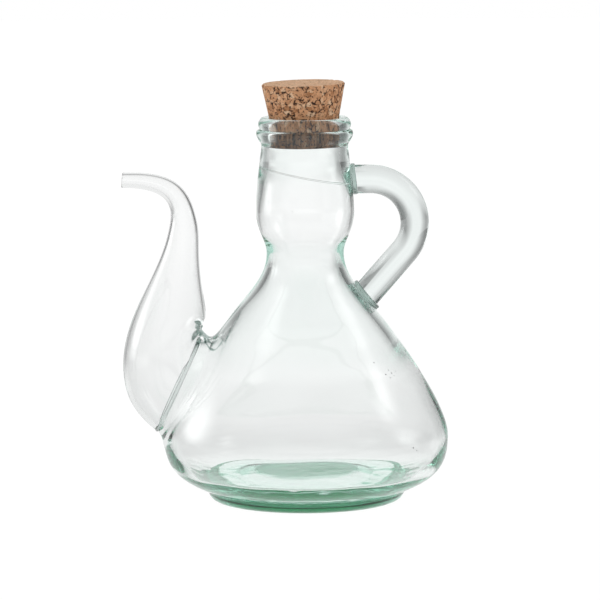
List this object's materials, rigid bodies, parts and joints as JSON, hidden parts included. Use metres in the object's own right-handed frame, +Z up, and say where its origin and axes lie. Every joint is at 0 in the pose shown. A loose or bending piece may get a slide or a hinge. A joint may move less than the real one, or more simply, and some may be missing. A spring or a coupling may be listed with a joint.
{
  "type": "glass oil bottle",
  "caption": "Squat blown-glass kitchen oil bottle with a swan-neck side spout, a bent rod handle and a tapered cork stopper.",
  "frame": {"origin": "centre of the foot ring, on the plane the bottle stands on and on the axis of the body", "axes": "+Z up along the axis of the body, -X towards the spout, +X towards the handle, Y across the plane of symmetry"},
  "size_m": [0.1491, 0.1306, 0.1927],
  "materials": {
    "green_glass": "blown recycled soda-lime glass, faintly green, glossy and slightly wavy",
    "clear_glass": "drawn clear soda-lime glass, glossy",
    "cork": "pressed cork granules, dry and matt"
  },
  "bodies": {
    "bottle": {"bottle_body": "green_glass", "spout_weld": "green_glass", "spout": "clear_glass", "handle": "clear_glass", "handle_upper_weld": "green_glass", "handle_lower_weld": "green_glass"},
    "stopper": {"cork_stopper": "cork"}
  },
  "joints": [
    {"name": "cork_pull", "type": "slide", "parent": "bottle", "child": "stopper", "axis": [-0.0244, 0, 0.9997], "range_m": [0, 0.04]}
  ]
}
